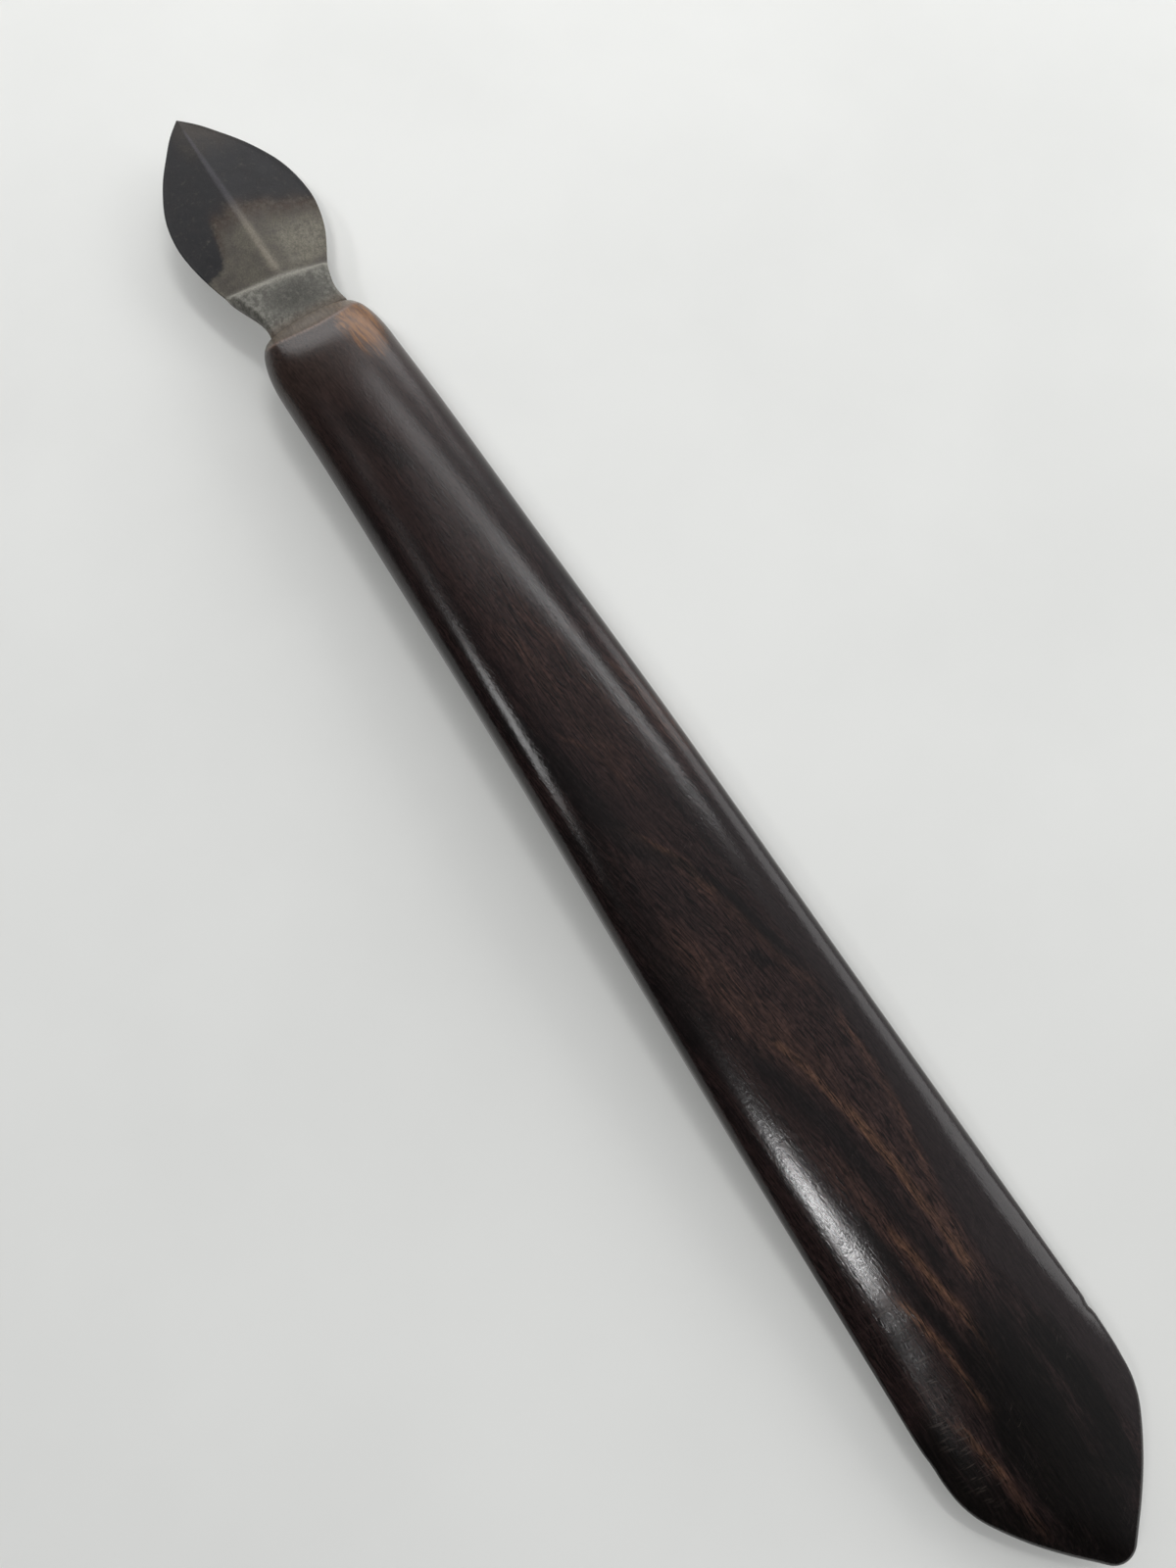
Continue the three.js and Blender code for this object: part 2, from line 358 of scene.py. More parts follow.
# ---- the figure of the wood -----------------------------------------------------------------
# A band is its strength, its width to the left and to the right of a line, and the (station, side) points
# of the line. Where one width is small the band has a crisp edge, as growth rings have.
GOLD_BANDS = [
    (0.8, 1.6, 0.25, (97, -3.0), (101, -0.9), (104, 0.6), (107, 1.6), (111, 2.6)),
    (0.6, 1.2, 0.25, (108, 2.0), (113, 3.0), (117, 4.0), (123, 5.2)),
    (0.7, 0.9, 0.2, (120, 4.6), (128, 5.6), (134, 5.4), (138, 4.7), (142, 4.0), (147, 3.5), (155, 3.3)),
    (0.65, 2.2, 2.2, (106, -4.6), (113, -3.6), (119, -2.2), (125, -0.6), (132, 1.0)),
    (1.0, 0.45, 0.7, (121, -2.3), (124, -1.3), (127, -0.4), (130, 0.3), (136, 1.3)),
    (0.9, 0.5, 1.3, (127, -0.4), (134, 1.0), (140, 1.7), (146, 2.1), (154, 2.2)),
    (0.55, 1.4, 1.2, (132, -3.4), (139, -2.5), (146, -1.7), (153, -1.0), (160, -0.5)),
    (1.0, 0.8, 0.5, (140, -2.4), (146, -1.4), (150, -0.8), (154, -0.3), (160, 0.1)),
    (0.95, 0.6, 0.5, (146, -5.6), (150, -4.4), (154, -3.7), (158, -3.4), (163, -3.1)),
    (0.85, 1.1, 0.5, (157, -7.2), (162, -5.9), (165, -5.3), (169, -5.1), (175, -4.9)),
    (0.65, 0.5, 0.3, (86, -3.8), (90, -1.2), (93, 0.0), (98, 1.4)),
    (0.6, 1.1, 0.9, (82, 6.2), (88, 6.7), (92, 7.2), (97, 7.7)),
    (0.4, 1.0, 0.8, (70, 0.6), (77, 1.8), (84, 3.0), (92, 3.6)),
    (0.45, 1.2, 0.9, (72, -1.6), (80, -0.8), (88, 0.2), (96, 2.0)),
    (0.5, 0.5, 0.5, (109, 6.1), (112.5, 6.4), (116, 6.7)),
    (0.4, 0.5, 0.5, (162, 2.9), (169, 2.3), (176, 1.8)),
    (0.4, 1.2, 1.2, (109, -7.2), (114, -6.2), (119, -6.2)),
]
RED_BANDS = [
    (0.9, 6.0, 3.6, (94, -3.6), (104, -2.2), (112, -1.0), (120, 1.4), (128, 2.8)),
    (1.0, 2.4, 2.6, (118, 0.6), (128, 2.6), (136, 3.0), (143, 2.7), (153, 2.5)),
    (0.9, 1.7, 1.3, (128, -4.0), (137, -2.9), (145, -1.8), (153, -0.9), (163, -0.3)),
    (0.8, 3.4, 4.2, (58, -1.2), (74, -0.4), (88, 0.6), (101, 1.4)),
    (0.8, 1.1, 1.1, (74, 6.4), (90, 6.9), (104, 7.8)),
    (0.6, 1.2, 1.2, (143, -5.6), (154, -4.2), (165, -3.2)),
    (0.8, 1.8, 1.2, (152, -7.4), (165, -6.2), (178, -5.4)),
    (0.6, 6.0, 5.0, (30, 0.0), (46, 0.0), (56, 0.0), (70, 0.0)),
    (0.5, 0.8, 0.8, (158, 3.1), (168, 2.5), (178, 1.6)),
]
DARK_BANDS = [
    (1.0, 1.7, 1.1, (80, -6.4), (88, -4.9), (95, -3.6), (101, -1.9), (107, 0.9)),
    (0.9, 0.9, 0.5, (100, -2.0), (105, 0.7), (110, 2.9), (115, 4.1), (121, 5.6)),
    (0.7, 1.0, 0.8, (119, -5.2), (125, -3.2), (131, -1.6), (138, -0.7), (146, 0.1), (154, 0.8)),
    (1.0, 0.6, 0.6, (137, -4.1), (146, -3.3), (152, -2.6), (158, -2.0), (164, -1.8)),
    (0.95, 4.6, 3.4, (150, 0.8), (158, 0.6), (167, 0.4), (182, 0.0)),
    (0.8, 3.0, 3.0, (156, -10.0), (166, -8.6), (182, -3.0)),
    (0.85, 1.4, 1.6, (157, -2.4), (164, -2.8), (172, -2.6), (182, -2.0)),
    (1.0, 1.3, 1.7, (154, 3.6), (160, 4.9), (165, 5.2), (170, 4.5), (175, 3.6)),
    (0.9, 0.7, 0.7, (114.8, 1.4), (116.2, 1.9), (117.6, 2.4)),
    (0.5, 1.6, 1.6, (101, -3.4), (105, -2.6), (109, -1.6), (113, -0.6)),
    (0.8, 2.0, 2.4, (92, -6.6), (102, -6.0), (112, -6.4), (124, -7.6)),
    (0.7, 1.5, 1.2, (44, -3.0), (50, -1.6), (56, 0.6)),
    (0.5, 0.8, 0.8, (84, -0.8), (88, 0.2), (92, 1.4)),
]
SCUFFED_BANDS = [(1.0, 1.8, 1.6, (145, -6.6), (153, -6.4), (161, -6.8), (169, -6.6))]
# Sapwood is an oval patch at the right of the front.
SAPWOOD_STATION = 35.0
SAPWOOD_SIDE = 4.2
SAPWOOD_LENGTH = 6.8
SAPWOOD_WIDTH = 2.6
SAPWOOD_LEAN = 0.05  # how much nearer to the middle line its middle lies per millimetre back
# To the right of this line the wood is plain, without figure.
plain_edge = profile(
    (97, 3.5), (104, 4.4), (112, 4.8), (122, 5.6), (131, 5.8), (138, 5.0), (147, 3.9), (156, 5.6),
    (166, 6.9),
)
# The way the fibres run, as how far to the side they have drifted.
fibre_drift = profile(
    (30, 0), (60, 2.4), (90, 3.9), (103, 5.7), (115, 7.5), (130, 9.1), (145, 9.9), (LENGTH, 10.3)
)


def band(station, side, strength, left, right, *line):
    """How far each point lies in a band: full along its line, and fading to its sides and its ends."""
    start, end = line[0][0], line[-1][0]
    taper = (end - start) * 0.2
    along = ease(station, start, start + taper) * (1 - ease(station, end - taper, end))
    offset = side - profile(*line)(station)
    across = np.exp(-np.abs(offset / np.where(offset < 0, left, right)) ** 3)
    return strength * along * across


def together(station, side, bands):
    """The strongest of several bands at each point."""
    return np.max([band(station, side, *one) for one in bands], axis=0)


def figure_marks(rings):
    """Where the wood's figure, wear and polish lie, with the rim's pale line of wear and painted
    highlight, from 0 to 1, and its fibres' places in millimetres.
    """
    station, side, height = np.moveaxis(rings, -1, 0)
    # The bands slant down through the wood, so that the sides and the underside show them shifted.
    drift = 0.22 * ripple(rings, 0.2, seed=21.0) + 0.1 * ripple(rings, 0.7, seed=5.0)
    below_the_top = np.minimum(height - handle_middle(station) - handle_half_height(station) * 0.8, 0)
    across = side + drift + 0.35 * below_the_top
    rim = RIM + RIM_BOW * (1 - (side / FRONT_HALF_WIDTH) ** 2)
    back = station - SAPWOOD_STATION
    lean = side - SAPWOOD_SIDE + SAPWOOD_LEAN * back
    from_sapwood = np.hypot(back / SAPWOOD_LENGTH, lean / SAPWOOD_WIDTH)
    return {
        "fibre": side - fibre_drift(station),
        "gold": together(station, across, GOLD_BANDS),
        "red": together(station, across, RED_BANDS),
        "dark": together(station, across, DARK_BANDS),
        "scuffed": together(station, across, SCUFFED_BANDS),
        "plain": ease(across - plain_edge(station), -0.1, 0.3) * ease(station, 92, 108),
        "sapwood": (1 - ease(from_sapwood, 0.3, 1.2)) * ease(height, 2.0, 5.0),
        # The pale line along the rim of the front bevel: partly worn wood, partly a painted highlight on
        # its rounded edge.
        "rim": np.exp(-(((station - rim) / 0.25) ** 2)) * ease(height, 5.0, 6.0),
        "bevel": 1 - ease(station - rim, -0.3, 0.2),
        "mouth": 1 - ease(station, 37, 46),
        "front": 1 - ease(station, 38, 62),
        "handled": 1 - ease(station, 56, 82),
        "polished_end": ease(station, 138, 151),
        # Towards the folder end the dark bands turn nearly black.
        "darker_folder_end": ease(station, 148, 162),
    }


# ---- the blade ------------------------------------------------------------------------------
leaf_left = profile(
    (0, 0.05), (1.5, 1.6), (3.9, 3.45), (6.2, 5.05), (8.6, 6.35), (10.9, 7.3), (13.3, 7.87),
    (15.6, 8.04), (18, 7.85), (20.3, 7.45), (22.7, 6.85), (24.5, 6.27), (26.2, 5.6), (27.4, 5.08),
    (28.8, 4.62), (30.4, 4.55), (FRONT - FIT_GAP, 4.75),
)
leaf_right = profile(
    (0, 0.05), (1.5, 1.55), (3.9, 3.4), (6.2, 5.0), (8.6, 6.35), (10.9, 7.37), (13.3, 8.02),
    (15.6, 8.32), (17.4, 8.36), (19.2, 8.1), (21.5, 7.5), (23.9, 6.4), (25.2, 5.7), (26.2, 5.22),
    (27.4, 4.9), (28.8, 4.58), (30.4, 4.6), (FRONT - FIT_GAP, 4.8),
)
ridge_height = profile((0, 0.12), (3, 0.36), (8, 0.56), (16, 0.76), (24, BLADE_HALF_THICKNESS))


def past_shoulder(station, side):
    """How far behind the slightly skewed line where the ground bevels end."""
    return station - SHOULDER - SHOULDER_SKEW * side


def blade_rings(columns=56):
    """Rings from the end of the tang to the point; each is the top edge to edge, then the underside."""
    in_leaf = stations(0, FRONT - FIT_GAP, 0.17)
    in_tang = stations(FRONT - FIT_GAP + 0.01, TANG_END, 2.5)
    station = np.concatenate([in_leaf, in_tang])[:, None]
    is_tang = station > FRONT - FIT_GAP
    left = np.where(is_tang, tang_sides(station, 0), leaf_left(station))
    right = np.where(is_tang, tang_sides(station, 0), leaf_right(station))
    # From -1 at the left edge to 1 at the right one, closer together towards the edges.
    even = np.linspace(-1, 1, columns)
    share = 0.45 * np.sin(even * np.pi / 2) + 0.55 * even
    side = np.where(share < 0, left, right) * share
    station = np.broadcast_to(station, side.shape)

    from_ridge = np.sqrt(share**2 + RIDGE_ROUNDING**2) - RIDGE_ROUNDING
    roof = ridge_height(station) * (1 - from_ridge)
    inside_edges = 1 - ease(np.abs(share), 0.9, 1.0)
    flat = np.where(is_tang, TANG_HALF_THICKNESS, BLADE_HALF_THICKNESS) * (0.65 + 0.35 * inside_edges)
    in_neck = ease(past_shoulder(station, side), -0.6, 0.5)
    thickness = np.maximum(EDGE_HALF_THICKNESS, roof + (flat - roof) * in_neck)

    def face(up):
        places = np.stack([station, side, MID_HEIGHT + up * thickness], axis=-1)
        hammered = 0.012 * ripple(places, 0.8, seed=31.0 + up) + 0.008 * ripple(places, 2.5, seed=7.0 + up)
        places[..., 2] += up * hammered * ease(station, 1.0, 4.0) * inside_edges
        return places

    return np.concatenate([face(1), face(-1)[:, ::-1]], axis=1)[::-1]


# The station where the black patina ends, as a curve over the side.
black_left = profile(
    (-8.2, 21.5), (-6.5, 21.0), (-5.0, 20.3), (-4.2, 18.4), (-3.4, 15.2), (-1.5, 14.2), (0, 14.0)
)
black_right = profile((0, 14.1), (2, 14.7), (4, 15.6), (6.4, 16.8), (8.4, 17.9))


def patina_marks(rings):
    """Where the steel is blue-black, brown, lighter on the right and pitted, and where its ridge and
    shoulder lines are pale, partly worn and partly painted highlight, from 0 to 1.
    """
    station, side, _ = np.moveaxis(rings, -1, 0)
    drift = 0.5 * ripple(rings, 0.35, seed=2.0) + 0.5 * ripple(rings, 0.8, seed=4.0)
    past_black = station + drift - np.where(side < 0, black_left(side), black_right(side))
    on_ridge = np.exp(-((side / (0.1 + 0.016 * station)) ** 2))
    behind = past_shoulder(station, side)
    from_pits = ((station - 28.2) / 2.3) ** 2 + ((side - 0.4 * (station - 27.8)) / 3.4) ** 2
    return {
        "black": 1 - ease(past_black, -1.0, 1.6),
        "brown": np.exp(-(((past_black - 0.9) / 1.5) ** 2)) * ease(side, -4.6, -3.6),
        "tip": (1 - ease(station, 3.0, 8.0)) * ease(side, -2.6, -0.2),
        # The pale line along the ridge is partly worn steel and partly a painted highlight.
        "ridge": on_ridge * ease(station, 1, 3) * (1 - ease(station, 23.5, 25)),
        "late_ridge": ease(station, 12, 18.5),
        # The pale line at the shoulder is partly worn steel and partly a painted highlight.
        "shoulder": np.exp(-(((behind - 0.1) / 0.42) ** 2)),
        # A lighter patch on the right of the leaf, just before the shoulder.
        "lighter_right_patch": ease(side, 1.0, 3.0) * ease(station, 17.5, 21) * (1 - ease(station, 24, 25.5)),
        "neck": ease(behind, 0.0, 0.8),
        "neck_pits": np.exp(-(from_pits**2)),
        "rust_line": ease(station, 29.6, 31.2),
    }


def make_blade():
    rings = blade_rings()
    return tube("steel_blade", rings, patina_marks(rings))


# ---- the resin that beds the tang -----------------------------------------------------------
def make_bedding(columns=72):
    """A sleeve round the tang: its outside from the closed end to the mouth, then its inside."""
    outside = np.append(BEDDING_END, stations(FRONT, BEDDING_END - 0.2, 1.0)[::-1])
    rounding = 0.1 * (outside == BEDDING_END)
    half_width = tang_sides(outside, RESIN_THICKNESS - FIT_GAP) - rounding
    half_height = BEDDING_HALF_HEIGHT - rounding
    skin = oval_rings(outside, half_width, half_height, MID_HEIGHT, 0.0, SLOT_SQUARENESS, columns)
    skin[..., 2] += 0.02 * ripple(skin, 0.9, seed=13.0)
    inside = stations(FRONT + 0.05, TANG_END + FIT_GAP, 1.0)
    half_width = tang_sides(inside, FIT_GAP)
    half_height = TANG_HALF_THICKNESS + FIT_GAP
    bore = oval_rings(inside, half_width, half_height, MID_HEIGHT, 0.0, BORE_SQUARENESS, columns)
    return tube("resin_bedding", np.concatenate([skin, bore]))


# ---- materials ------------------------------------------------------------------------------
def srgb(red, green, blue):
    """A colour given as 0 to 255 display values, as the linear one that shaders take."""
    levels = np.array([red, green, blue]) / 255
    linear = np.where(levels < 0.04045, levels / 12.92, ((levels + 0.055) / 1.055) ** 2.4)
    return (*linear.tolist(), 1.0)


class Nodes:
    """A material's node tree, with short calls for the nodes that the materials use."""

    def __init__(self, name):
        self.material = bpy.data.materials.new(name)
        self.material.use_nodes = True
        self.tree = self.material.node_tree
        self.tree.nodes.clear()

    def add(self, kind, inputs, **settings):
        node = self.tree.nodes.new(kind)
        for key, value in settings.items():
            setattr(node, key, value)
        for key, value in inputs.items():
            if isinstance(value, bpy.types.NodeSocket):
                self.tree.links.new(value, node.inputs[key])
            else:
                node.inputs[key].default_value = value
        return node

    def place(self, turn=0.0):
        """Object coordinates in millimetres, turned about Z."""
        coordinates = self.add("ShaderNodeTexCoord", {}).outputs["Object"]
        inputs = {"Vector": coordinates, "Scale": (1 / MM, 1 / MM, 1 / MM), "Rotation": (0, 0, turn)}
        return self.add("ShaderNodeMapping", inputs).outputs["Vector"]

    def noise(self, place, scale, detail=3.0, roughness=0.55):
        """Noise, mostly 0.3 to 0.7, of about this many swells per millimetre along X, Y and Z."""
        stretched = self.add("ShaderNodeVectorMath", {0: place, 1: scale}, operation="MULTIPLY").outputs[0]
        inputs = {"Vector": stretched, "Scale": 1.0, "Detail": detail, "Roughness": roughness}
        return self.add("ShaderNodeTexNoise", inputs).outputs["Fac"]

    def mark(self, name):
        return self.add("ShaderNodeAttribute", {}, attribute_name=name).outputs["Fac"]

    def math(self, operation, first, second=0.0):
        return self.add("ShaderNodeMath", {0: first, 1: second}, operation=operation).outputs[0]

    def plus(self, first, second):
        return self.math("ADD", first, second)

    def minus(self, first, second):
        return self.math("SUBTRACT", first, second)

    def times(self, first, second):
        return self.math("MULTIPLY", first, second)

    def larger(self, first, second):
        return self.math("MAXIMUM", first, second)

    def ease(self, value, low, high, start=0.0, end=1.0):
        """Start up to low, end from high on, and a smooth change between."""
        inputs = {"Value": value, "From Min": low, "From Max": high, "To Min": start, "To Max": end}
        return self.add("ShaderNodeMapRange", inputs, interpolation_type="SMOOTHSTEP").outputs["Result"]

    def blend(self, share, first, second, how="MIX"):
        inputs = {0: share, 6: first, 7: second}
        return self.add("ShaderNodeMix", inputs, data_type="RGBA", blend_type=how).outputs[2]

    def layers(self, colour, *layers):
        """A colour with others laid over it in turn, each given with its share and its strength."""
        for share, strength, over in layers:
            colour = self.blend(self.times(share, strength), colour, over)
        return colour

    def toned(self, colour, brightness):
        """A colour times a brightness, where 1 leaves it as it is."""
        grey = self.add("ShaderNodeCombineXYZ", {0: brightness, 1: brightness, 2: brightness}).outputs[0]
        return self.blend(1.0, colour, grey, "MULTIPLY")

    def bump(self, height, distance, strength):
        inputs = {"Height": height, "Distance": distance * MM, "Strength": strength}
        return self.add("ShaderNodeBump", inputs).outputs["Normal"]

    def finish(self, **inputs):
        named = {key.replace("_", " "): value for key, value in inputs.items()}
        shader = self.add("ShaderNodeBsdfPrincipled", named)
        self.add("ShaderNodeOutputMaterial", {"Surface": shader.outputs[0]})
        return self.material


def feathered(nodes, mark, fibres, crispness):
    """A mark that ends fibre by fibre: the fuller the mark, the more of the fibres it takes in."""
    lifted = nodes.plus(fibres, nodes.times(nodes.minus(mark, 0.5), 0.6))
    share = nodes.ease(lifted, 0.52 - crispness, 0.52 + crispness)
    return nodes.times(share, nodes.ease(mark, 0.0, 0.25))


def wood_grain(nodes):
    """Noises that run with the fibres, from broad bands to single pores, and two that don't."""
    place = nodes.place()
    axes = nodes.add("ShaderNodeSeparateXYZ", {0: place}).outputs
    wave = nodes.noise(place, (0.15, 0.5, 0.5), detail=2.0)
    across = nodes.plus(nodes.mark("fibre"), nodes.ease(wave, 0.2, 0.8, -0.25, 0.25))
    along_fibre = nodes.add("ShaderNodeCombineXYZ", {0: axes[0], 1: across, 2: axes[2]}).outputs[0]
    return {
        "clouds": nodes.noise(place, (0.12, 0.32, 0.32)),
        "bands": nodes.noise(along_fibre, (0.05, 0.8, 0.5), roughness=0.6),
        "lines": nodes.noise(along_fibre, (0.22, 2.8, 2.2), roughness=0.65),
        "fibres": nodes.noise(along_fibre, (0.42, 5.5, 4.5), detail=2.0, roughness=0.65),
        "dashes": nodes.noise(along_fibre, (0.55, 7.0, 5.0), detail=1.0, roughness=0.5),
        "grit": nodes.noise(place, (2.3, 2.7, 2.7), roughness=0.75),
    }


def wood_figure(nodes, grain):
    """How far the red, golden and dark wood and the sapwood reach."""
    lines = grain["lines"]
    gold = nodes.mark("gold")
    gold_core = feathered(nodes, nodes.ease(gold, 0.55, 1.0), lines, 0.25)
    return {
        "red": feathered(nodes, nodes.mark("red"), lines, 0.35),
        "gold": feathered(nodes, gold, lines, 0.3),
        "gold_core": nodes.times(gold_core, nodes.ease(grain["clouds"], 0.36, 0.6, 0.3, 1.0)),
        "dark": feathered(nodes, nodes.mark("dark"), lines, 0.3),
        "sapwood": feathered(nodes, nodes.mark("sapwood"), lines, 0.35),
    }


def wood_colour(nodes, grain, figure):
    """The colours of the wood, laid one over another, before its fibres and pores show in them."""
    ground = nodes.blend(nodes.ease(grain["bands"], 0.38, 0.62), srgb(25, 18, 18), srgb(36, 26, 25))
    sapwood = nodes.blend(nodes.ease(grain["lines"], 0.35, 0.65), srgb(98, 64, 32), srgb(128, 84, 40))
    streaks = nodes.noise(nodes.place(), (0.5, 2.6, 0.5), detail=2.0)
    bevel = nodes.blend(nodes.ease(streaks, 0.35, 0.65), srgb(88, 79, 69), srgb(102, 92, 80))
    return nodes.layers(
        ground,
        (figure["red"], 0.8, srgb(46, 33, 31)),
        (nodes.mark("front"), 0.7, srgb(46, 34, 31)),
        (nodes.mark("mouth"), 0.5, srgb(55, 44, 39)),
        (figure["gold"], 0.85, srgb(62, 44, 38)),
        (figure["gold_core"], 0.8, srgb(84, 60, 46)),
        (nodes.mark("plain"), 0.9, srgb(33, 27, 27)),
        (figure["dark"], 0.87, srgb(19, 16, 16)),
        # Towards the folder end the dark bands turn nearly black.
        (nodes.times(nodes.mark("darker_folder_end"), figure["dark"]), 0.85, srgb(9, 7, 5)),
        (figure["sapwood"], 0.9, sapwood),
        (nodes.mark("bevel"), 0.85, bevel),
        # The rim's pale line: partly worn wood, partly a painted highlight on its rounded edge.
        (nodes.mark("rim"), 0.8, srgb(104, 84, 74)),
    )


def fibre_contrast(nodes, grain, figure):
    """How strongly fibres and pores show: most in the figure, and least in pale and handled wood."""
    clouded = nodes.ease(grain["clouds"], 0.35, 0.65, 0.6, 0.9)
    contrast = nodes.larger(nodes.larger(figure["red"], figure["gold"]), clouded)
    contrast = nodes.times(contrast, nodes.ease(nodes.mark("plain"), 0.0, 1.0, 1.0, 0.5))
    pale = nodes.larger(nodes.mark("sapwood"), nodes.mark("bevel"))
    pale_or_handled = nodes.larger(pale, nodes.times(nodes.mark("handled"), 0.55))
    return nodes.times(contrast, nodes.ease(pale_or_handled, 0.0, 1.0, 1.0, 0.2))


def hairline_scratches(nodes, grain):
    """Thin lines where a stretched noise crosses its middle value, in some patches only."""
    stretched = nodes.noise(nodes.place(turn=0.9), (0.1, 1.6, 1.6), detail=2.0)
    from_line = nodes.math("ABSOLUTE", nodes.minus(stretched, 0.5))
    return nodes.times(nodes.ease(from_line, 0.0, 0.006, 1.0, 0.0), nodes.ease(grain["clouds"], 0.55, 0.7))


def scuffs_at_the_edge(nodes):
    """Short pale rubs, crosswise, where the left edge of the folder end is scuffed."""
    scuffs = nodes.noise(nodes.place(turn=0.1), (4.0, 0.7, 0.7), detail=1.0)
    return nodes.times(nodes.ease(scuffs, 0.58, 0.68), nodes.mark("scuffed"))


def wood_gloss(nodes):
    """Roughness: least at the polished folder end, most at the handled front."""
    roughness = nodes.ease(nodes.mark("handled"), 0.0, 1.0, 0.16, 0.265)
    return nodes.minus(roughness, nodes.times(nodes.mark("polished_end"), 0.045))


def wood_relief(nodes, grain, pores, scratches):
    """Fine grit, rubbed down at the polished end, with raised fibres and sunken pores and scratches."""
    coarse = nodes.ease(nodes.mark("polished_end"), 0.0, 1.0, 1.0, 0.35)
    coarse = nodes.plus(coarse, nodes.times(nodes.mark("handled"), 0.3))
    relief = nodes.plus(nodes.times(grain["grit"], coarse), nodes.times(grain["fibres"], 0.4))
    relief = nodes.minus(relief, nodes.times(nodes.plus(scratches, pores), 0.06))
    return nodes.bump(relief, 0.03, 0.5)


def dark_wood():
    """Close-grained rosewood, nearly black, with red and golden bands, open pores and handling marks."""
    nodes = Nodes("dark_wood")
    grain = wood_grain(nodes)
    figure = wood_figure(nodes, grain)
    contrast = fibre_contrast(nodes, grain, figure)
    pores = nodes.times(nodes.ease(grain["dashes"], 0.55, 0.61), contrast)
    scratches = hairline_scratches(nodes, grain)

    fibre_tone = nodes.ease(grain["fibres"], 0.3, 0.7, 0.5, 1.6)
    grit_tone = nodes.ease(grain["grit"], 0.3, 0.7, 0.7, 1.35)
    colour = wood_colour(nodes, grain, figure)
    toned = nodes.toned(colour, nodes.times(fibre_tone, grit_tone))
    colour = nodes.layers(
        nodes.blend(contrast, colour, toned),
        (pores, 0.85, srgb(11, 8, 8)),
        (scratches, 0.25, srgb(96, 86, 82)),
        (scuffs_at_the_edge(nodes), 0.6, srgb(64, 56, 52)),
    )
    relief = wood_relief(nodes, grain, pores, scratches)
    return nodes.finish(Base_Color=colour, Roughness=wood_gloss(nodes), Normal=relief, IOR=1.4)


def steel_colour(nodes, cloud, mottle, neck_pits):
    """Grey steel, blue-black over the leaf, with a brown fringe, a lighter patch on the right, pale ridge
    and shoulder lines that are partly wear and partly painted highlight, and a pitted neck.
    """
    grey = nodes.blend(nodes.ease(cloud, 0.35, 0.65), srgb(72, 67, 61), srgb(90, 86, 76))
    neck = nodes.blend(nodes.ease(mottle, 0.38, 0.62), srgb(88, 86, 80), srgb(122, 121, 113))
    slate = nodes.blend(nodes.ease(cloud, 0.35, 0.65), srgb(18, 18, 22), srgb(33, 32, 34))
    # The ridge's pale colour, paler from the middle of the leaf back, is partly wear and partly painted
    # highlight.
    ridge = nodes.blend(nodes.mark("late_ridge"), srgb(76, 74, 79), srgb(136, 129, 116))
    # The lighter, mottled patch on the right of the leaf before the shoulder.
    lighter_patch = nodes.times(nodes.mark("lighter_right_patch"), nodes.ease(mottle, 0.35, 0.6, 0.3, 1.0))
    black = feathered(nodes, nodes.mark("black"), mottle, 0.25)
    brown = nodes.times(nodes.mark("brown"), nodes.ease(mottle, 0.35, 0.6, 0.55, 1.0))
    tip = nodes.times(nodes.mark("tip"), nodes.ease(cloud, 0.35, 0.6, 0.5, 1.0))
    return nodes.layers(
        grey,
        (lighter_patch, 1.0, srgb(112, 108, 96)),
        (nodes.mark("neck"), 1.0, neck),
        (black, 1.0, slate),
        (brown, 0.85, srgb(56, 43, 35)),
        (tip, 0.7, srgb(62, 56, 50)),
        # Ridge and shoulder lines: partly worn steel, partly painted highlight.
        (nodes.mark("ridge"), 0.75, ridge),
        (nodes.mark("shoulder"), 0.75, srgb(150, 148, 138)),
        (neck_pits, 0.8, srgb(56, 55, 50)),
        (nodes.mark("rust_line"), 0.6, srgb(84, 70, 58)),
    )


def tarnished_steel():
    """Old forged steel: blue-black and brown patina on the leaf, greyer towards the neck, fine pits."""
    nodes = Nodes("tarnished_steel")
    place = nodes.place()
    cloud = nodes.noise(place, (0.45, 0.45, 0.45), detail=5.0, roughness=0.62)
    mottle = nodes.noise(place, (1.6, 1.6, 1.6), detail=4.0, roughness=0.62)
    specks = nodes.noise(place, (5.0, 5.0, 5.0), detail=2.0, roughness=0.6)
    brushed = nodes.noise(nodes.place(turn=0.5), (1.2, 8.0, 2.0))
    neck_pits = nodes.times(nodes.mark("neck_pits"), nodes.ease(mottle, 0.36, 0.54))

    colour = steel_colour(nodes, cloud, mottle, neck_pits)
    colour = nodes.toned(colour, nodes.ease(specks, 0.3, 0.7, 0.82, 1.18))
    grimy = nodes.blend(0.5, colour, srgb(30, 28, 26))
    colour = nodes.blend(nodes.ease(brushed, 0.45, 0.75, 0.0, 0.3), colour, grimy)
    roughness = nodes.ease(cloud, 0.3, 0.7, 0.55, 0.68)
    relief = nodes.minus(nodes.times(brushed, 0.4), nodes.times(neck_pits, 0.8))
    relief = nodes.bump(nodes.plus(relief, nodes.times(specks, 0.5)), 0.02, 0.5)
    return nodes.finish(Base_Color=colour, Roughness=roughness, Normal=relief, Metallic=0.1, IOR=1.4)


